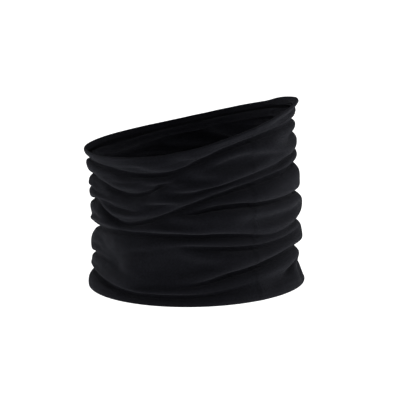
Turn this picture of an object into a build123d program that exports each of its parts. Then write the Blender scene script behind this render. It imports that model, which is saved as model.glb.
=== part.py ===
from build123d import *
import math
import os

# A neck gaiter: an open tube of jersey, scrunched down and standing on its bottom hem.
# The wearer faces -X, the nape is at +X, and +Z is up. Millimetres.

# Driving dimensions
base_width = 171.0  # outside of the tube along X, at the bottom hem
base_depth = 153.0  # and along Y
rim_width = 167.0  # outside of the tube along X, at the rim
rim_depth = 149.0  # and along Y
throat_height = 112.0  # rim height at -X
nape_height = 145.0  # rim height at +X
forward_lean = 2.5  # how far the rim's centre stands towards -X of the base's centre
cloth = 1.0  # thickness of one layer of jersey
hem_depth = 10.0  # height of the turned hems
left_seam_angle = -55.0  # seams, measured round +Z from the nape
right_seam_angle = 36.0
thread = 0.35  # how far a thread row stands off the cloth
thread_width = 0.5  # width of one needle row
needle_gauge = 4.4  # distance between the two needle rows of a seam or hem
looper_width = 5.2  # width of the inner thread band of a seam or hem
hem_stitch_middle = 6.4  # from a hem's free edge to the middle of its stitching
label_height = 34.0  # care label: up the seam
label_reach = 17.0  # in from the seam
label_thickness = 0.4
label_rise = 4.0  # from the bottom hem's upper edge to the label

# Values that follow from the driving dimensions
rim_height = (throat_height + nape_height) / 2
rim_tilt = math.atan2(nape_height - throat_height, rim_width)
base_oval = (base_width / 2, base_depth / 2)
rim_oval = (rim_width / 2 / math.cos(rim_tilt), rim_depth / 2)
hem_layers = 2
clear_of_tube = base_width + base_depth
clear_of_rim = 2 * nape_height

base_level = Plane.XY
rim_level = Plane(
    origin=(-forward_lean, 0, rim_height),
    x_dir=(math.cos(rim_tilt), 0, math.sin(rim_tilt)),
    z_dir=(-math.sin(rim_tilt), 0, math.cos(rim_tilt)),
)
lower_hem_edge = base_level.offset(hem_depth)
upper_hem_edge = rim_level.offset(-hem_depth)


def core_between_hems(growth):
    """All that lies inside the wall's outer face between the hems, grown outwards."""
    with BuildPart() as core:
        for plane, (half_width, half_depth) in (
            (lower_hem_edge, base_oval),
            (upper_hem_edge, rim_oval),
        ):
            with BuildSketch(plane):
                Ellipse(half_width + growth, half_depth + growth)
        loft(ruled=True)
    return core.part


def oval_band(plane, oval, outer_growth, inner_growth, height):
    """A straight band round the tube, extruded from a plane between two growths."""
    half_width, half_depth = oval
    with BuildPart() as band:
        with BuildSketch(plane):
            Ellipse(half_width + outer_growth, half_depth + outer_growth)
            Ellipse(half_width + inner_growth, half_depth + inner_growth, mode=Mode.SUBTRACT)
        extrude(amount=height)
    return band.part


def seam_direction(angle):
    """The way out from the tube's axis to a seam."""
    turn = math.radians(angle)
    return (math.cos(turn), math.sin(turn), 0)


def seam_slab(angle, sideways, width):
    """A tall slab out from the tube's axis along a seam, set off sideways from it."""
    with BuildPart() as slab:
        with BuildSketch(Plane(origin=(0, 0, 0), x_dir=seam_direction(angle))):
            with Locations((clear_of_tube / 2, sideways)):
                Rectangle(clear_of_tube, width)
        extrude(amount=clear_of_rim)
    return slab.part


def save(piece, name):
    """Label a finished piece and write it as a STEP file of its own."""
    piece.part.label = name
    export_step(piece.part, f"parts/{name}.step")


os.makedirs("parts", exist_ok=True)

# The two jersey panels: a single layer with a double, turned hem at each end. They butt
# along the two seams, and the smaller one covers the nape.
outside = core_between_hems(0)
inside = core_between_hems(-cloth)
lining = -hem_layers * cloth
with BuildPart() as tube:
    add(outside)
    add(inside, mode=Mode.SUBTRACT)
    add(oval_band(base_level, base_oval, 0, lining, hem_depth))
    add(oval_band(upper_hem_edge, rim_oval, 0, lining, hem_depth))

with BuildPart() as nape_sector:
    with BuildSketch(Plane.XY):
        with BuildLine():
            left_edge = PolarLine((0, 0), clear_of_tube, left_seam_angle)
            right_edge = PolarLine((0, 0), clear_of_tube, right_seam_angle)
            Line(left_edge @ 1, right_edge @ 1)
        make_face()
    extrude(amount=clear_of_rim)

with BuildPart() as back_panel:
    add(tube.part)
    add(nape_sector.part, mode=Mode.INTERSECT)
save(back_panel, "back_panel")

with BuildPart() as front_panel:
    add(tube.part)
    add(nape_sector.part, mode=Mode.SUBTRACT)
save(front_panel, "front_panel")

# The flatlock seams: two rows of needle thread that lie on the outside of the wall, one
# on each panel, and a flat band of looper thread inside that bridges the butted edges.
with BuildPart() as needle_skin:
    add(core_between_hems(thread))
    add(outside, mode=Mode.SUBTRACT)

with BuildPart() as looper_skin:
    add(inside)
    add(core_between_hems(-cloth - thread), mode=Mode.SUBTRACT)

for side, angle in (("left", left_seam_angle), ("right", right_seam_angle)):
    with BuildPart() as seam_needles:
        add(seam_slab(angle, needle_gauge / 2, thread_width))
        add(seam_slab(angle, -needle_gauge / 2, thread_width))
        add(needle_skin.part, mode=Mode.INTERSECT)
    save(seam_needles, f"{side}_seam_needle_threads")

    with BuildPart() as seam_looper:
        add(seam_slab(angle, 0, looper_width))
        add(looper_skin.part, mode=Mode.INTERSECT)
    save(seam_looper, f"{side}_seam_looper_thread")

# The hem coverstitch: two rows of needle thread round the outside of each hem and a
# band of looper thread that lies on the turned layer inside.
for hem, edge_level, inward, oval in (
    ("bottom", base_level, 1, base_oval),
    ("top", rim_level, -1, rim_oval),
):
    with BuildPart() as hem_needles:
        for row in (-1, 1):
            row_middle = hem_stitch_middle + row * needle_gauge / 2
            row_plane = edge_level.offset(inward * row_middle - thread_width / 2)
            add(oval_band(row_plane, oval, thread, 0, thread_width))
    save(hem_needles, f"{hem}_hem_needle_threads")

    with BuildPart() as hem_looper:
        band_plane = edge_level.offset(inward * hem_stitch_middle - looper_width / 2)
        add(oval_band(band_plane, oval, lining, lining - thread, looper_width))
    save(hem_looper, f"{hem}_hem_looper_thread")

# The care label: a blank folded tab, its edge caught in the left seam inside the tube.
# Its outer edge follows the seam's looper thread.
label_side = Plane(
    origin=(0, 0, hem_depth + label_rise), x_dir=seam_direction(left_seam_angle)
)
seam_radius = base_width * base_depth / 2 / math.hypot(
    base_depth * label_side.x_dir.X, base_width * label_side.x_dir.Y
)
with BuildPart() as care_label:
    with BuildSketch(label_side):
        with Locations((seam_radius, 0)):
            Rectangle(2 * label_reach, label_thickness)
    extrude(amount=label_height)
    add(core_between_hems(-cloth - thread), mode=Mode.INTERSECT)
save(care_label, "care_label")
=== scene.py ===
import math

import bpy
import numpy as np
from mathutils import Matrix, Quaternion, Vector


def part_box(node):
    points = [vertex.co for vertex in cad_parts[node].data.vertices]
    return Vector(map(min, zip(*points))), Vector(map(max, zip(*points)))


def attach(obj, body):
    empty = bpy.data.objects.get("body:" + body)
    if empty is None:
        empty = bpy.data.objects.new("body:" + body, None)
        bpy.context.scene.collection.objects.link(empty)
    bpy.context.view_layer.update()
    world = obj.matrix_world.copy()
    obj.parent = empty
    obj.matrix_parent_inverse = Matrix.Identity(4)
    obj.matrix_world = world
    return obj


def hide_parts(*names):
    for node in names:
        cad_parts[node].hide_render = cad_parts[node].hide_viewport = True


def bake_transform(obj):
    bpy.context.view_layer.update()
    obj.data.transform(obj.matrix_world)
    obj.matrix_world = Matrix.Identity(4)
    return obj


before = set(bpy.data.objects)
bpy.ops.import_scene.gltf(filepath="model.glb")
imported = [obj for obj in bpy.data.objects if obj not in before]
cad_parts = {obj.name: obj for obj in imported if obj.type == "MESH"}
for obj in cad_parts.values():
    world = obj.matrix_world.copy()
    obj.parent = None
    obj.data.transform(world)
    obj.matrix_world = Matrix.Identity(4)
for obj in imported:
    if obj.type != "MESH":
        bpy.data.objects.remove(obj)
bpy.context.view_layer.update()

scene = bpy.context.scene
mm = 0.001

# ---- Gathered tube -----------------------------------------------------------------
# The gaiter is one tube of fine black jersey, cut 500 mm round and 245 mm tall. It is
# pushed down until it stands little more than half as tall, so the spare cloth lies in
# soft horizontal folds. Here the tall tube is scrunched down by a cloth simulation.
base_low, base_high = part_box("bottom_hem_needle_threads")
rim_low, rim_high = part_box("top_hem_needle_threads")
base_half_width = (base_high.x - base_low.x) / 2
base_half_depth = (base_high.y - base_low.y) / 2
rim_half_width = (rim_high.x - rim_low.x) / 2
rim_half_depth = (rim_high.y - rim_low.y) / 2
rim_shift = (rim_high.x + rim_low.x) / 2
cut_round = 500 * mm
cut_height = 245 * mm
hem_turn = 11 * mm
columns = 180  # points round the simulated tube
rows = 92  # and up it
hem_rows = 6  # rows that lie in each hem
rim_middle_height = 124.7 * mm
rim_rise_to_nape = 16 * mm
rim_saddle = 3.8 * mm
crease_half_height = 4 * mm
tuck_for_depth = 1.3  # how much further in the cloth is drawn than the crease is deep
hem_flare = 3.5 * mm  # how far the stiff hems stand out from the wall between them
hem_flare_height = 13 * mm
wall_set_in = 2.5 * mm  # the wall stands this far in, so its folds bulge out to the hems' width
hem_grip = 0.25  # how firmly the hems are led while the tube is pushed down

# Each crease runs round the tube through (angle from the nape in degrees, negative on
# the wearer's left; height in mm; how deep it tucks in, mm). It fades out where its depth
# is 0.
creases = [
    # under the rim band
    [(-180, 103, 2), (-160, 103, 2.5), (-137, 100, 3), (-120, 98, 3), (-101, 100, 3.5), (-93, 105, 4),
     (-79, 115, 4), (-66, 120, 4), (-52, 125, 4), (-40, 127, 3.5), (-19, 129, 3), (0, 131, 3),
     (40, 128, 3), (90, 112, 3), (140, 100, 3)],
    [(-48, 130, 0), (-43, 133, 1.5), (-29, 135, 2), (0, 141, 2.5), (40, 138, 2), (70, 130, 0)],
    [(-30, 118, 0), (-15, 120, 1.5), (0, 121, 2.5), (40, 120, 2.5), (70, 116, 0)],
    # the lower edge of the leaf-shaped pillow at the throat
    [(-180, 91, 3), (-154, 89, 3.5), (-141, 85, 4), (-130, 81, 4), (-120, 82, 4), (-112, 87, 3.5),
     (-104, 94, 2.5), (-97, 101, 0), (150, 89, 0), (170, 91, 2)],
    # two that climb together from the throat to the nape
    [(-180, 67, 2.5), (-161, 74, 3.5), (-146, 63, 4), (-134, 57, 4), (-114, 64, 4), (-93, 76, 3.5),
     (-79, 83, 3.5), (-66, 87, 3.5), (-53, 91, 3.5), (-19, 95, 4), (0, 95, 5), (30, 98, 4),
     (70, 92, 4), (110, 82, 3), (150, 74, 3)],
    [(-93, 83, 0), (-85, 86, 2), (-74, 91, 2.5), (-53, 97, 2.5), (-34, 101, 2.5), (0, 108, 3),
     (40, 112, 2.5), (70, 106, 0)],
    # the wide valley below the nape
    [(-105, 70, 0), (-93, 71, 2), (-79, 74, 3), (-66, 75, 4), (-45, 72, 4), (-34, 73, 4), (-10, 73, 4),
     (0, 70, 4), (40, 70, 4), (90, 62, 3), (130, 54, 3), (160, 50, 0)],
    # the waist, with a second one under its right half
    [(-180, 47, 4), (-157, 50, 4), (-135, 53, 3.5), (-93, 53, 3), (-71, 53, 3), (-57, 49, 3),
     (-43, 46, 2.5), (-19, 47, 2.5), (0, 51, 3.5), (50, 46, 3), (90, 40, 3), (130, 38, 3), (160, 44, 3)],
    [(-100, 46, 0), (-93, 45, 2), (-77, 42, 3.5), (-52, 40, 3.5), (-34, 41, 3), (-15, 43, 2), (0, 43, 0)],
    # the deep one over the bottom pouch, and a short tuck in the pouch
    [(-110, 17, 0), (-93, 18, 1), (-79, 20, 2.5), (-66, 23, 3.5), (-53, 25, 4), (-43, 28, 4), (-29, 31, 4),
     (-15, 31, 4), (0, 27, 5), (40, 24, 5), (90, 20, 4), (140, 18, 2), (170, 20, 0)],
    [(-36, 14, 0), (-28, 14, 3), (-19, 16, 3.5), (-8, 21, 2), (0, 25, 0)],
    # over the bottom hem
    [(-180, 11, 3), (-157, 12, 3), (-140, 8, 2.5), (-123, 7, 2), (-93, 8, 2), (-79, 10, 2), (-66, 13, 1.5),
     (-50, 15, 0), (150, 10, 0)],
    [(-180, 27, 3), (-168, 28, 2), (-158, 30, 0), (160, 26, 0)],
]

angles = np.radians(np.arange(columns) * 360 / columns - 180)


def round_the_tube(points):
    """A smooth closed line of values round the tube through (degrees, value) points."""
    degrees, values = zip(*points)
    line = np.interp(angles, np.radians(degrees), values, period=2 * math.pi)
    for _ in range(3):
        line = sum(np.roll(line, step) for step in range(-3, 4)) / 7
    return line


up_share = np.linspace(0, 1, rows)[:, None]
rim_dip = mm * round_the_tube([
    (-180, 2.6), (-150, 2.8), (-110, 2.2), (-80, 1.2), (-60, 0), (90, 0), (130, 0.5), (160, 1.8)
])
rim_line = (
    rim_middle_height + rim_rise_to_nape * np.cos(angles) + rim_saddle * np.cos(2 * angles) - rim_dip
)
tall_for_gathered = round_the_tube([
    (-180, 1.22), (-100, 1.24), (-60, 1.3), (60, 1.32), (120, 1.25)
])
tall_height = up_share * rim_line * tall_for_gathered
spare_goes_up = round_the_tube([
    (-180, 0.15), (-110, 0.18), (-75, 0.08), (-20, 0), (40, 0), (120, 0.1)
])
hem_rise = tall_height[hem_rows]
body_share = np.clip((np.arange(rows)[:, None] - hem_rows) / (rows - 1 - 2 * hem_rows), 0, 1)
body_share = body_share + spare_goes_up * body_share * (1 - body_share)
gathered_height = hem_rise + body_share * (rim_line - 2 * hem_rise)
gathered_height[:hem_rows] = tall_height[:hem_rows]
gathered_height[-hem_rows:] = rim_line + tall_height[-hem_rows:] - tall_height[-1]
half_width = base_half_width + (rim_half_width - base_half_width) * up_share
half_depth = base_half_depth + (rim_half_depth - base_half_depth) * up_share
row_step = rim_line / (rows - 1)
tuck = np.zeros((rows, columns))
held = np.zeros((rows, columns))
crease_lines = []
for crease in creases:
    level = round_the_tube([(angle, height) for angle, height, depth in crease]) * mm
    depth = round_the_tube([(angle, depth) for angle, height, depth in crease])
    gap = gathered_height - level
    tuck = np.maximum(tuck, depth * mm * np.exp(-((gap / crease_half_height) ** 2)))
    grip_here = np.clip((depth - 1) / 2, 0, 1)
    held = np.maximum(held, np.where(abs(gap) <= row_step / 2, grip_here, 0))
    crease_row = [np.interp(level[i], gathered_height[:, i], np.arange(rows)) for i in range(columns)]
    crease_lines.append((np.array(crease_row) / (rows - 1), depth))

edge_distance = np.minimum(tall_height, tall_height[::-1])
untucked = hem_flare * np.exp(-((edge_distance / hem_flare_height) ** 2)) - wall_set_in
stand_out = untucked - tuck_for_depth * tuck
edge = np.minimum(np.arange(rows), np.arange(rows)[::-1])[:, None] < hem_rows - 1
held = np.where(edge, np.maximum(held, hem_grip), held)
held[0] = 1
held[-1] = 1
pinched = round_the_tube([
    (-180, 0.88), (-150, 0.96), (-120, 1), (-60, 1), (-35, 0.93),
    (0, 0.75), (35, 0.93), (60, 1), (120, 1), (150, 0.96)
])
pinched = 1 + (pinched - 1) * up_share ** 3
plan_x = rim_shift * up_share + (half_width + stand_out) * np.cos(angles)
plan_y = (half_depth + stand_out) * np.sin(angles) * pinched


def ring_faces(row_count, column_count):
    """Quads of a tube of rings, each ring joined to the next one up."""
    return [
        (j * column_count + i, j * column_count + (i + 1) % column_count,
         (j + 1) * column_count + (i + 1) % column_count, (j + 1) * column_count + i)
        for j in range(row_count - 1)
        for i in range(column_count)
    ]


def new_piece(name, points, faces):
    """A mesh object in the row frame, linked to the scene."""
    mesh = bpy.data.meshes.new(name)
    mesh.from_pydata(np.reshape(points, (-1, 3)).tolist(), [], faces)
    mesh.update()
    piece = bpy.data.objects.new(name, mesh)
    scene.collection.objects.link(piece)
    return piece


def scrunch():
    """Simulates the tall tube being pushed down onto the neck form, ten times life size."""
    bigger = 10
    last_frame = 34
    pushed_by_frame = 20
    neck_half_width = 74.5 * mm
    neck_half_depth = 66 * mm
    neck_bottom, neck_top = -20 * mm, 240 * mm
    neck_sides = 96
    tall = np.stack([plan_x, plan_y, tall_height], -1) * bigger
    tube = new_piece("tall_tube", tall, ring_faces(rows, columns))
    tube.shape_key_add(name="tall")
    relaxed = tube.shape_key_add(name="relaxed")
    slack = 0.5 * mm
    flat_x = (half_width + untucked - slack) * np.cos(angles)
    flat_y = (half_depth + untucked - slack) * np.sin(angles) * pinched
    lay = np.stack([flat_x, flat_y, tall_height], -1) * bigger
    relaxed.data.foreach_set("co", lay.astype(np.float32).ravel())
    relaxed.value = 0
    pushed = tube.shape_key_add(name="pushed")
    target = np.stack([plan_x, plan_y, gathered_height], -1) * bigger
    pushed.data.foreach_set("co", target.astype(np.float32).ravel())
    pushed.value = 0
    pushed.keyframe_insert("value", frame=1)
    pushed.value = 1
    pushed.keyframe_insert("value", frame=pushed_by_frame)
    grip = tube.vertex_groups.new(name="grip")
    strength = np.round(held, 1).ravel()
    for step in np.unique(strength[strength > 0]):
        grip.add(np.nonzero(strength == step)[0].tolist(), float(step), "REPLACE")
    cloth = tube.modifiers.new("cloth", "CLOTH")
    jersey_feel = cloth.settings
    jersey_feel.quality = 6
    jersey_feel.mass = 0.15
    jersey_feel.time_scale = 0.6
    jersey_feel.tension_stiffness = 20
    jersey_feel.compression_stiffness = 20
    jersey_feel.shear_stiffness = 8
    jersey_feel.bending_model = "ANGULAR"
    jersey_feel.bending_stiffness = 250
    jersey_feel.tension_damping = 10
    jersey_feel.compression_damping = 10
    jersey_feel.shear_damping = 10
    jersey_feel.bending_damping = 5
    jersey_feel.air_damping = 4
    jersey_feel.vertex_group_mass = "grip"
    jersey_feel.pin_stiffness = 1
    jersey_feel.rest_shape_key = relaxed
    touch = cloth.collision_settings
    touch.distance_min = 0.01
    touch.use_self_collision = True
    touch.self_distance_min = 0.012
    touch.self_friction = 5
    form_points = [
        ((rim_shift / 2 + neck_half_width * math.cos(a)) * bigger,
         neck_half_depth * math.sin(a) * bigger, z * bigger)
        for z in (neck_bottom, neck_top)
        for a in np.radians(np.arange(neck_sides) * 360 / neck_sides)
    ]
    form = new_piece("neck_form", form_points, ring_faces(2, neck_sides))
    form.modifiers.new("collision", "COLLISION")
    form.collision.thickness_outer = 0.01
    form.collision.cloth_friction = 15
    table_corners = [(-3, -3, 0), (3, -3, 0), (3, 3, 0), (-3, 3, 0)]
    table = new_piece("table", table_corners, [(0, 1, 2, 3)])
    table.modifiers.new("collision", "COLLISION")
    table.collision.thickness_outer = 0.005
    cloth.point_cache.frame_start = 1
    cloth.point_cache.frame_end = last_frame
    for frame_number in range(1, last_frame + 1):
        scene.frame_set(frame_number)
    settled = tube.evaluated_get(bpy.context.evaluated_depsgraph_get()).to_mesh()
    points = np.empty(rows * columns * 3, np.float32)
    settled.vertices.foreach_get("co", points)
    for helper in (tube, form, table):
        bpy.data.objects.remove(helper)
    scene.frame_set(1)
    return points.reshape(rows, columns, 3).astype(float) / bigger


settled_grid = scrunch()

# The knit is too springy to keep crumples a few millimetres wide, so these are eased out.
for _ in range(4):
    beside = np.roll(settled_grid, 1, axis=1) + np.roll(settled_grid, -1, axis=1)
    settled_grid = settled_grid / 2 + beside / 4
    settled_grid[1:-1] = settled_grid[1:-1] / 2 + (settled_grid[:-2] + settled_grid[2:]) / 4

# ---- Front and back panels ---------------------------------------------------------
# Two cut pieces of single-ply jersey, butted along two flatlock seams: the larger goes
# round the throat, the smaller covers the nape. Both edges are turned in as 11 mm hems.
ply = 0.9 * mm
fine_columns = 300  # points round the finished wall
fine_rows = 204  # and up it
left_seam_column = 104
right_seam_column = 180
seam_half_width = 2.6 * mm
seam_height = 0.3 * mm
needle_gauge = 4.4 * mm
stitch_middle = 6.4 * mm
stitch_dent_depth = 0.15 * mm
stitch_dent_width = 0.9 * mm
nick_depth = 3.6 * mm
nick_width = 1.9 * mm


def finer(line_of_rows, count, closed):
    """Resamples the first axis to more steps with a smooth cubic through every point."""
    old = len(line_of_rows)
    at = np.arange(count) * old / count if closed else np.linspace(0, old - 1, count)
    first = np.minimum(np.floor(at).astype(int), old - 1)
    part = (at - first).reshape((-1,) + (1,) * (line_of_rows.ndim - 1))

    def take(offset):
        index = first + offset
        return line_of_rows[index % old if closed else np.clip(index, 0, old - 1)]

    before, here, after, beyond = take(-1), take(0), take(1), take(2)
    slope_here = (after - before) / 2
    slope_after = (beyond - here) / 2
    square, cube = part ** 2, part ** 3
    return (
        (2 * cube - 3 * square + 1) * here + (cube - 2 * square + part) * slope_here
        + (3 * square - 2 * cube) * after + (cube - square) * slope_after
    )


wall = finer(settled_grid, fine_rows, closed=False)
wall = finer(wall.transpose(1, 0, 2), fine_columns, closed=True).transpose(1, 0, 2)


def outward_normals(grid):
    """Unit normals of the closed tube, pointing away from the neck."""
    around = np.roll(grid, -1, axis=1) - np.roll(grid, 1, axis=1)
    up = np.gradient(grid, axis=0)
    normal = np.cross(around, up)
    return normal / np.linalg.norm(normal, axis=2, keepdims=True)


normals = outward_normals(wall)
row_lengths = np.linalg.norm(np.diff(wall, axis=0), axis=2)
from_base = np.vstack([np.zeros(fine_columns), np.cumsum(row_lengths, axis=0)])
from_rim = from_base[-1] - from_base
column_step = np.linalg.norm(np.roll(wall, -1, axis=1) - wall, axis=2).mean()


def ridge(distance, width):
    """A smooth hump of height 1, at its middle where the distance is 0."""
    return np.exp(-((distance / width) ** 2))


# A sharp nick along the bottom of each crease, where the fold above closes on the one below.
nick = np.zeros((fine_rows, fine_columns))
every = np.arange(fine_columns)
coarse_column = every * columns / fine_columns
for share_up, depth in crease_lines:
    share_here = np.interp(coarse_column, np.arange(columns), share_up, period=columns)
    depth_here = np.interp(coarse_column, np.arange(columns), depth, period=columns)
    row_here = share_here * (fine_rows - 1)
    low_row = np.floor(row_here).astype(int)
    part = row_here - low_row
    next_row = np.minimum(low_row + 1, fine_rows - 1)
    along = from_base[low_row, every] * (1 - part) + from_base[next_row, every] * part
    cut_in = np.clip((depth_here - 0.5) / 2.5, 0, 1)
    nick = np.maximum(nick, cut_in * ridge(from_base - along, nick_width))

# The butted seams stand up a little, and the needle rows sink into the hems.
seam_bump = np.zeros((fine_rows, fine_columns))
for seam_column in (left_seam_column, right_seam_column):
    seam_bump += ridge((every - seam_column) * column_step, seam_half_width)
stitch_dent = np.zeros((fine_rows, fine_columns))
for from_edge in (from_base, from_rim):
    for row_side in (-1, 1):
        row_distance = stitch_middle + row_side * needle_gauge / 2
        stitch_dent += ridge(from_edge - row_distance, stitch_dent_width)
raised_by = seam_height * seam_bump - stitch_dent_depth * stitch_dent - nick_depth * nick
wall = wall + normals * raised_by[..., None]
normals = outward_normals(wall)
turned = np.maximum(from_base < hem_turn, from_rim < hem_turn)
outer_face = wall + normals * ply / 2
inner_face = wall - normals * (ply / 2 + turned * ply)[..., None]


def lip(outer, inner, way):
    """The rounded fold of a hem between its outer and inner faces."""
    middle = (outer + inner) / 2
    arm = (outer - inner) / 2
    reach = np.linalg.norm(arm, axis=1, keepdims=True) * way
    turns = (0.25, 0.5, 0.75)
    return [middle + arm * math.cos(t * math.pi) + reach * math.sin(t * math.pi) for t in turns]


up_way = np.array([0, 0, 1.0])
rim_lip = lip(outer_face[-1], inner_face[-1], up_way)
base_lip = lip(inner_face[0], outer_face[0], -up_way)
section = np.concatenate([outer_face, np.array(rim_lip), inner_face[::-1], np.array(base_lip)])
section_share = np.concatenate([
    np.linspace(0, 1, fine_rows), [1, 1, 1], np.linspace(1, 0, fine_rows), [0, 0, 0]
])
section[..., 2] = np.maximum(section[..., 2], 0.1 * mm)


def panel(name, first_column, last_column):
    """One cut panel: a closed skin round its faces, hems and butt edges, its UVs in metres."""
    picked = np.arange(first_column, last_column + 1)
    points = section[:, picked % fine_columns].transpose(1, 0, 2)
    width, loop = points.shape[:2]
    faces = [
        (i * loop + j, (i + 1) * loop + j, (i + 1) * loop + (j + 1) % loop, i * loop + (j + 1) % loop)
        for i in range(width - 1)
        for j in range(loop)
    ]
    rim_row = fine_rows - 1
    skin_faces = len(faces)
    for start, flip in ((0, False), ((width - 1) * loop, True)):
        caps = [(j, j + 1, 2 * fine_rows + 1 - j, 2 * fine_rows + 2 - j) for j in range(rim_row)]
        caps.append(tuple(range(rim_row, rim_row + 5)))
        caps.append(tuple([0] + list(range(loop - 1, loop - 5, -1)))[::-1])
        for cap in caps:
            cap = [start + corner for corner in cap]
            faces.append(tuple(cap[::-1] if flip else cap))
    piece = new_piece(name, points, faces)
    around_metres = np.repeat(picked / fine_columns * cut_round, loop)
    up_metres = np.tile(section_share * cut_height, width)
    metres = np.stack([around_metres, up_metres], -1)
    corner_vertex = np.empty(len(piece.data.loops), np.int32)
    piece.data.loops.foreach_get("vertex_index", corner_vertex)
    layer = piece.data.uv_layers.new(name="cut")
    layer.data.foreach_set("uv", metres[corner_vertex].astype(np.float32).ravel())
    smooth = np.arange(len(faces)) < skin_faces
    piece.data.polygons.foreach_set("use_smooth", smooth)
    edge_ends = np.empty(2 * len(piece.data.edges), np.int32)
    piece.data.edges.foreach_get("vertices", edge_ends)
    edge_ends = edge_ends.reshape(-1, 2)
    at_butt = (edge_ends < loop).all(1) | (edge_ends >= (width - 1) * loop).all(1)
    piece.data.edges.foreach_set("use_edge_sharp", at_butt)
    return piece


back_cloth = panel("back_panel_jersey", left_seam_column, right_seam_column)
front_cloth = panel("front_panel_jersey", right_seam_column, left_seam_column + fine_columns)



def knit_group():
    """Shader group: the relief of plain knit stitches, from the cloth's own UVs in metres."""
    group = bpy.data.node_groups.new("plain_knit", "ShaderNodeTree")
    group.interface.new_socket("Wale Width", in_out="INPUT", socket_type="NodeSocketFloat")
    group.interface.new_socket("Course Height", in_out="INPUT", socket_type="NodeSocketFloat")
    group.interface.new_socket("Relief", in_out="OUTPUT", socket_type="NodeSocketFloat")
    nodes, links = group.nodes, group.links
    given = nodes.new("NodeGroupInput")
    result = nodes.new("NodeGroupOutput")
    uv = nodes.new("ShaderNodeUVMap")
    uv.uv_map = "cut"
    split = nodes.new("ShaderNodeSeparateXYZ")
    links.new(uv.outputs["UV"], split.inputs[0])

    def maths(operation, first, second=None):
        node = nodes.new("ShaderNodeMath")
        node.operation = operation
        for socket, value in zip(node.inputs, (first, second)):
            if isinstance(value, (int, float)):
                socket.default_value = value
            elif value is not None:
                links.new(value, socket)
        return node.outputs[0]

    wale = maths("DIVIDE", split.outputs["X"], given.outputs["Wale Width"])
    lean = maths("PINGPONG", wale, 0.5)
    course = maths("DIVIDE", split.outputs["Y"], given.outputs["Course Height"])
    slanted = maths("ADD", course, maths("MULTIPLY", lean, 1.6))
    yarn = maths("ABSOLUTE", maths("SINE", maths("MULTIPLY", slanted, math.pi)))
    rib = maths("ABSOLUTE", maths("SINE", maths("MULTIPLY", wale, 2 * math.pi)))
    relief = maths("MULTIPLY", yarn, maths("ADD", maths("MULTIPLY", rib, 0.7), 0.3))
    links.new(relief, result.inputs["Relief"])
    return group


# Black merino-weight jersey: fine knit ribs, a soft matt nap and a little lint.
jersey = bpy.data.materials.new("black_merino_jersey")
jersey.use_nodes = True
nodes, links = jersey.node_tree.nodes, jersey.node_tree.links
cloth_skin = nodes["Principled BSDF"]
cloth_skin.inputs["Roughness"].default_value = 0.9
cloth_skin.inputs["Specular IOR Level"].default_value = 0.1
cloth_skin.inputs["Sheen Weight"].default_value = 0.1
cloth_skin.inputs["Sheen Roughness"].default_value = 0.5
cloth_skin.inputs["Sheen Tint"].default_value = (0.75, 0.78, 0.9, 1)
knit = nodes.new("ShaderNodeGroup")
knit.node_tree = knit_group()
knit.inputs["Wale Width"].default_value = 0.9 * mm
knit.inputs["Course Height"].default_value = 0.75 * mm
place = nodes.new("ShaderNodeTexCoord")
lint = nodes.new("ShaderNodeTexNoise")
lint.inputs["Scale"].default_value = 900
lint.inputs["Detail"].default_value = 3
links.new(place.outputs["Object"], lint.inputs["Vector"])
lint_shade = nodes.new("ShaderNodeValToRGB")
lint_shade.color_ramp.elements[0].position = 0.35
lint_shade.color_ramp.elements[0].color = (0.0072, 0.0074, 0.0104, 1)
lint_shade.color_ramp.elements[1].position = 0.8
lint_shade.color_ramp.elements[1].color = (0.0150, 0.0154, 0.0208, 1)
links.new(lint.outputs["Fac"], lint_shade.inputs["Fac"])
links.new(lint_shade.outputs["Color"], cloth_skin.inputs["Base Color"])
fuzz = nodes.new("ShaderNodeTexNoise")
fuzz.inputs["Scale"].default_value = 350
fuzz.inputs["Detail"].default_value = 4
links.new(place.outputs["Object"], fuzz.inputs["Vector"])
nap = nodes.new("ShaderNodeMath")
nap.operation = "MULTIPLY_ADD"
nap.inputs[1].default_value = 1.2
links.new(fuzz.outputs["Fac"], nap.inputs[0])
links.new(knit.outputs["Relief"], nap.inputs[2])
raised = nodes.new("ShaderNodeBump")
raised.inputs["Strength"].default_value = 0.5
raised.inputs["Distance"].default_value = 0.25 * mm
links.new(nap.outputs[0], raised.inputs["Height"])
links.new(raised.outputs["Normal"], cloth_skin.inputs["Normal"])

for cloth, node in ((front_cloth, "front_panel"), (back_cloth, "back_panel")):
    cloth.data.materials.append(jersey)
    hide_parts(node)
    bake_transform(cloth)

# ---- Seam and hem threads ----------------------------------------------------------
# Spun polyester thread. Each flatlock seam and each coverstitched hem shows two rows of
# needle stitches outside, sunk a little in the nap, and a laced looper band inside.
stitch_pitch = 3 * mm
thread_width = 0.34 * mm
seam_margin = 2 * mm  # from a seam's end to its first needle stitch
seam_start = hem_turn + 1.5 * mm  # where the looper band starts, clear of the turned hem


def on_cloth(face, row, column, lift):
    """Points on one face of the tube at fractional rows and columns, lifted off the cloth."""
    low = np.clip(np.floor(row).astype(int), 0, fine_rows - 2)
    left = np.floor(column).astype(int)
    up = (row - low)[:, None]
    on = (column - left)[:, None]
    found = 0
    for i, across in ((0, 1 - on), (1, on)):
        for j, upward in ((0, 1 - up), (1, up)):
            at = (low + j, (left + i) % fine_columns)
            found = found + upward * across * (face[at] + normals[at] * lift[:, None])
    return found


def row_at(distance, column, from_edge):
    """The fractional row of each column that lies so far along the cloth from an edge."""
    rows_up = np.arange(fine_rows)
    found = []
    for along, at in zip(distance, np.round(column).astype(int) % fine_columns):
        lengths = from_edge[:, at]
        rising = lengths[0] < lengths[-1]
        order = slice(None) if rising else slice(None, None, -1)
        found.append(np.interp(along, lengths[order], rows_up[order]))
    return np.array(found)


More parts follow.
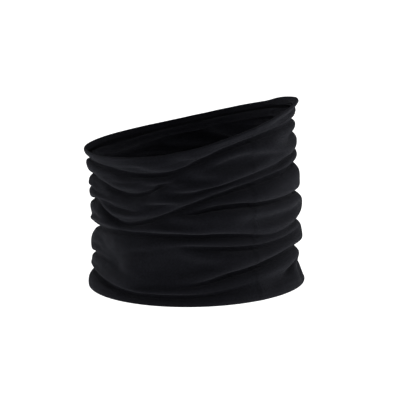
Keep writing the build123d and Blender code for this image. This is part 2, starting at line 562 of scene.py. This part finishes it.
def sewn(name, paths, node):
    """Round thread along the paths, as one mesh that stands for a thread node."""
    line = bpy.data.curves.new(name, "CURVE")
    line.dimensions = "3D"
    line.bevel_depth = thread_width / 2
    line.bevel_resolution = 1
    line.use_fill_caps = True
    for path in paths:
        spline = line.splines.new("POLY")
        spline.points.add(len(path) - 1)
        spline.points.foreach_set("co", np.column_stack([path, np.ones(len(path))]).ravel())
    piece = bpy.data.objects.new(name, line)
    scene.collection.objects.link(piece)
    bpy.ops.object.select_all(action="DESELECT")
    bpy.context.view_layer.objects.active = piece
    piece.select_set(True)
    bpy.ops.object.convert(target="MESH")
    piece = bpy.context.object
    piece.data.polygons.foreach_set("use_smooth", [True] * len(piece.data.polygons))
    piece.data.materials.append(thread_finish)
    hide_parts(node)
    return piece


def seam_line(column, start, stop, side, lift, face):
    """A path on one face along a seam, at distances from the bottom edge and to one side."""
    columns_here = column + side / column_step
    rows_here = row_at(np.linspace(start, stop, len(side)), columns_here, from_base)
    return on_cloth(face, rows_here, columns_here, lift)


def hem_line(start, stop, inward, lift, face, from_edge):
    """A path on one face along a hem, between two columns, at distances in from its edge."""
    columns_here = np.linspace(start, stop, len(inward))
    rows_here = row_at(inward, columns_here, from_edge)
    return on_cloth(face, rows_here, columns_here, lift)


# A needle stitch dips into the cloth at both ends. The looper lace weaves from row to row.
stitch_ends = np.array([0.1, 0.9])  # as shares of the stitch pitch
stitch_lift = np.array([-0.15, 0.05, 0.05, -0.15]) * mm
stitch_points = len(stitch_lift)
lace_sides = np.array([-1, -0.5, 0, 0.5, 1, 0.5, 0, -0.5]) * needle_gauge / 2
lace_lifts = np.array([0.05, 0.15, 0.3, 0.15, 0.05, 0.05, 0.1, 0.05]) * mm
half_lace = len(lace_sides) // 2

# Matt spun polyester: a fine diagonal twist.
thread_finish = bpy.data.materials.new("black_polyester_thread")
thread_finish.use_nodes = True
nodes, links = thread_finish.node_tree.nodes, thread_finish.node_tree.links
thread_skin = nodes["Principled BSDF"]
thread_skin.inputs["Roughness"].default_value = 0.6
thread_skin.inputs["Specular IOR Level"].default_value = 0.1
place = nodes.new("ShaderNodeTexCoord")
twist = nodes.new("ShaderNodeTexWave")
twist.bands_direction = "DIAGONAL"
twist.inputs["Scale"].default_value = 900
twist.inputs["Distortion"].default_value = 2
links.new(place.outputs["Object"], twist.inputs["Vector"])
twist_shade = nodes.new("ShaderNodeValToRGB")
twist_shade.color_ramp.elements[0].color = (0.0040, 0.0042, 0.0058, 1)
twist_shade.color_ramp.elements[1].color = (0.0085, 0.0088, 0.0115, 1)
links.new(twist.outputs["Fac"], twist_shade.inputs["Fac"])
links.new(twist_shade.outputs["Color"], thread_skin.inputs["Base Color"])
plied = nodes.new("ShaderNodeBump")
plied.inputs["Strength"].default_value = 0.5
plied.inputs["Distance"].default_value = 0.05 * mm
links.new(twist.outputs["Fac"], plied.inputs["Height"])
links.new(plied.outputs["Normal"], thread_skin.inputs["Normal"])

# The seams: needle rows from hem to hem, and a looper band between the turned hems.
seam_threads = []
for side_name, column in (("left", left_seam_column), ("right", right_seam_column)):
    cloth_length = from_base[-1, column]
    stitches = int((cloth_length - 2 * seam_margin) / stitch_pitch)
    needle_paths = []
    for row_side in (-1, 1):
        for stitch in range(stitches):
            start, stop = seam_margin + (stitch + stitch_ends) * stitch_pitch
            side = np.full(stitch_points, row_side * needle_gauge / 2)
            needle_paths.append(seam_line(column, start, stop, side, stitch_lift, outer_face))
    node = f"{side_name}_seam_needle_threads"
    seam_threads.append(sewn(f"{side_name}_seam_needle_stitches", needle_paths, node))

    laces = int((cloth_length - 2 * seam_start) / stitch_pitch)
    lace_stop = seam_start + laces * stitch_pitch
    lace_paths = []
    for first in (0, half_lace):
        side = np.tile(np.roll(lace_sides, first), laces)
        lift = -np.tile(np.roll(lace_lifts, first), laces)
        lace_paths.append(seam_line(column, seam_start, lace_stop, side, lift, inner_face))
    node = f"{side_name}_seam_looper_thread"
    seam_threads.append(sewn(f"{side_name}_seam_looper_lacing", lace_paths, node))

# The hems: the same stitches round both turned edges.
for hem, body, from_edge in (("bottom", "collar", from_base), ("top", "rim", from_rim)):
    stitches = int(cut_round / stitch_pitch)
    columns_each = fine_columns / stitches
    needle_paths = []
    for row_side in (-1, 1):
        inward = np.full(stitch_points, stitch_middle + row_side * needle_gauge / 2)
        for stitch in range(stitches):
            start, stop = (stitch + stitch_ends) * columns_each
            needle_paths.append(hem_line(start, stop, inward, stitch_lift, outer_face, from_edge))
    piece = sewn(f"{hem}_hem_needle_stitches", needle_paths, f"{hem}_hem_needle_threads")
    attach(piece, body)

    lace_paths = []
    for first in (0, half_lace):
        side = np.tile(np.roll(lace_sides, first), stitches)
        lift = -np.tile(np.roll(lace_lifts, first), stitches)
        path = hem_line(0, fine_columns, stitch_middle + side, lift, inner_face, from_edge)
        lace_paths.append(path)
    piece = sewn(f"{hem}_hem_looper_lacing", lace_paths, f"{hem}_hem_looper_thread")
    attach(piece, body)

# ---- Care label --------------------------------------------------------------------
# A blank black satin ribbon, folded double, its cut ends caught in the left seam inside
# the tube a little above the bottom hem. It stands in from the wall and curls forwards.
label_height = 34 * mm
label_reach = 17 * mm
label_start = hem_turn + 4 * mm
label_steps_up = 48
label_steps_out = 12
label_gap = 0.35 * mm
label_clearance = 0.5 * mm
label_curl = math.radians(38)
label_ply = 0.14 * mm
on_seam = np.zeros(label_steps_up)
off_wall = np.full(label_steps_up, -label_clearance)
label_stop = label_start + label_height
label_root = seam_line(left_seam_column, label_start, label_stop, on_seam, off_wall, inner_face)

# The wall's creases reach in past the seam beside them, so the root keeps inside them all.
root_reach = np.linalg.norm(label_root[:, :2], axis=1)
crease_steps = 12
for level in range(label_steps_up):
    beside_level = root_reach[max(0, level - crease_steps):level + crease_steps + 1]
    label_root[level, :2] *= (beside_level.min() - label_clearance) / root_reach[level]
even = np.linspace(0, 1, label_steps_up)[:, None]
label_straight = label_root.mean(0) + (even - 0.5) * np.array([0, 0, 0.8 * label_height])
label_inward = -label_root.mean(0) * np.array([1, 1, 0])
label_inward = label_inward / np.linalg.norm(label_inward)
label_forward = np.cross(label_inward, [0, 0, 1])
if label_forward[0] > 0:
    label_forward = -label_forward


def label_line(side):
    """Lines of points up the label at growing distances from the seam, for one ply."""
    lines = []
    for share in np.linspace(0, 1, label_steps_out):
        turn = label_curl * share
        inward = label_reach * math.sin(turn) / label_curl
        forward = label_reach * (1 - math.cos(turn)) / label_curl
        loosened = min(1, share * 2.5)
        base_line = label_root * (1 - loosened) + label_straight * loosened
        wave = 0.5 * mm * share * np.sin(even * 5)
        offset = side * label_gap * math.sin(math.pi * (0.15 + 0.7 * share))
        across = -math.sin(turn) * label_inward + math.cos(turn) * label_forward
        bent = inward * label_inward + (forward + wave) * label_forward + offset * across
        lines.append(base_line + bent)
    return lines


near_ply = label_line(-0.5)
far_ply = label_line(0.5)
fold_middle = (near_ply[-1] + far_ply[-1]) / 2 + 0.15 * mm * label_inward
label_points = np.array(near_ply + [fold_middle] + far_ply[::-1])
label_faces = [
    (a * label_steps_up + b, (a + 1) * label_steps_up + b,
     (a + 1) * label_steps_up + b + 1, a * label_steps_up + b + 1)
    for a in range(len(label_points) - 1)
    for b in range(label_steps_up - 1)
]
label = new_piece("blank_care_label", label_points, label_faces)
label.data.polygons.foreach_set("use_smooth", [True] * len(label.data.polygons))
ribbon = label.modifiers.new("ribbon", "SOLIDIFY")
ribbon.thickness = label_ply
ribbon.offset = 0

# Black woven satin: a fine upright warp with a soft sheen.
satin = bpy.data.materials.new("black_label_satin")
satin.use_nodes = True
nodes, links = satin.node_tree.nodes, satin.node_tree.links
satin_skin = nodes["Principled BSDF"]
satin_skin.inputs["Roughness"].default_value = 0.35
satin_skin.inputs["Anisotropic"].default_value = 0.5
satin_skin.inputs["Specular IOR Level"].default_value = 0.3
place = nodes.new("ShaderNodeTexCoord")
warp = nodes.new("ShaderNodeTexWave")
warp.bands_direction = "Z"
warp.inputs["Scale"].default_value = 1100
links.new(place.outputs["Object"], warp.inputs["Vector"])
warp_shade = nodes.new("ShaderNodeValToRGB")
warp_shade.color_ramp.elements[0].color = (0.010, 0.010, 0.012, 1)
warp_shade.color_ramp.elements[1].color = (0.020, 0.020, 0.023, 1)
links.new(warp.outputs["Fac"], warp_shade.inputs["Fac"])
links.new(warp_shade.outputs["Color"], satin_skin.inputs["Base Color"])
floats = nodes.new("ShaderNodeBump")
floats.inputs["Strength"].default_value = 0.3
floats.inputs["Distance"].default_value = 0.03 * mm
links.new(warp.outputs["Fac"], floats.inputs["Height"])
links.new(floats.outputs["Normal"], satin_skin.inputs["Normal"])
label.data.materials.append(satin)
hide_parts("care_label")
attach(label, "collar")

# ---- Sewn tube ---------------------------------------------------------------------
# The seams' threads lie along the panels they join. The panels are cut sheets, gathered
# on the tube; the threads' transforms are baked into their meshes, like the panels'.
for piece in seam_threads:
    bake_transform(piece)

# ---- Camera ------------------------------------------------------------------------
# A long lens a little above the gaiter, square on to the wearer's left side.
camera_data = bpy.data.cameras.new("camera")
camera = bpy.data.objects.new("camera", camera_data)
scene.collection.objects.link(camera)
scene.camera = camera
elevation = math.radians(12.5)
camera_roll = math.radians(-1.4)
camera_distance = 1.1
looked_at = Vector((1.2 * mm, 0, 65 * mm))
back_way = Vector((0, -math.cos(elevation), math.sin(elevation)))
camera.location = looked_at + back_way * camera_distance
camera.rotation_mode = "QUATERNION"
level_turn = (-back_way).to_track_quat("-Z", "Y")
camera.rotation_quaternion = level_turn @ Quaternion((0, 0, 1), camera_roll)
camera_data.sensor_width = 36
camera_data.lens = 124
camera_data.shift_x = 0.00925
camera_data.shift_y = 0.0015

# ---- Studio ------------------------------------------------------------------------
# A plain pale floor that runs out of sight, a white surround that is dimmer overhead, and
# two soft side lights that catch the nap of the cloth.
scene.view_settings.view_transform = "Standard"
surround = bpy.data.worlds.new("surround")
scene.world = surround
surround.use_nodes = True
nodes, links = surround.node_tree.nodes, surround.node_tree.links
nodes["Background"].inputs["Color"].default_value = (1, 1, 1, 1)
way = nodes.new("ShaderNodeTexCoord")
upward = nodes.new("ShaderNodeSeparateXYZ")
links.new(way.outputs["Generated"], upward.inputs["Vector"])
overhead = nodes.new("ShaderNodeMapRange")
overhead.inputs["From Min"].default_value = 0.15
overhead.inputs["From Max"].default_value = 0.65
overhead.inputs["To Min"].default_value = 0.5
overhead.inputs["To Max"].default_value = 0.04
links.new(upward.outputs["Z"], overhead.inputs["Value"])
seen = nodes.new("ShaderNodeLightPath")
brightness = nodes.new("ShaderNodeMapRange")
brightness.inputs["To Max"].default_value = 1.0
links.new(seen.outputs["Is Camera Ray"], brightness.inputs["Value"])
links.new(overhead.outputs["Result"], brightness.inputs["To Min"])
links.new(brightness.outputs["Result"], nodes["Background"].inputs["Strength"])
bpy.ops.object.select_all(action="DESELECT")
bpy.ops.mesh.primitive_plane_add(size=40)
floor = bpy.context.object
floor.name = "floor"
pale = bpy.data.materials.new("pale_floor")
pale.use_nodes = True
pale_skin = pale.node_tree.nodes["Principled BSDF"]
pale_skin.inputs["Base Color"].default_value = (0.85, 0.85, 0.85, 1)
pale_skin.inputs["Roughness"].default_value = 0.9
pale_skin.inputs["Specular IOR Level"].default_value = 0
pale_skin.inputs["Emission Color"].default_value = (1, 1, 1, 1)
seen = pale.node_tree.nodes.new("ShaderNodeLightPath")
whiteness = pale.node_tree.nodes.new("ShaderNodeMapRange")
whiteness.inputs["To Min"].default_value = 0.6
whiteness.inputs["To Max"].default_value = 1.2
pale.node_tree.links.new(seen.outputs["Is Camera Ray"], whiteness.inputs["Value"])
pale.node_tree.links.new(whiteness.outputs["Result"], pale_skin.inputs["Emission Strength"])
floor.data.materials.append(pale)


def soft_light(name, place, width, height, power):
    """A square-on area light aimed at the middle of the gaiter."""
    data = bpy.data.lights.new(name, "AREA")
    data.shape = "RECTANGLE"
    data.size = width
    data.size_y = height
    data.energy = power
    lamp = bpy.data.objects.new(name, data)
    scene.collection.objects.link(lamp)
    lamp.location = place
    lamp.rotation_mode = "QUATERNION"
    lamp.rotation_quaternion = (Vector((0, 0, 0.07)) - Vector(place)).to_track_quat("-Z", "Y")


soft_light("left_light", (-1.2, 0.1, 0.5), 0.6, 0.9, 1.2)
soft_light("right_light", (1.2, 0.1, 0.5), 0.6, 0.9, 4)
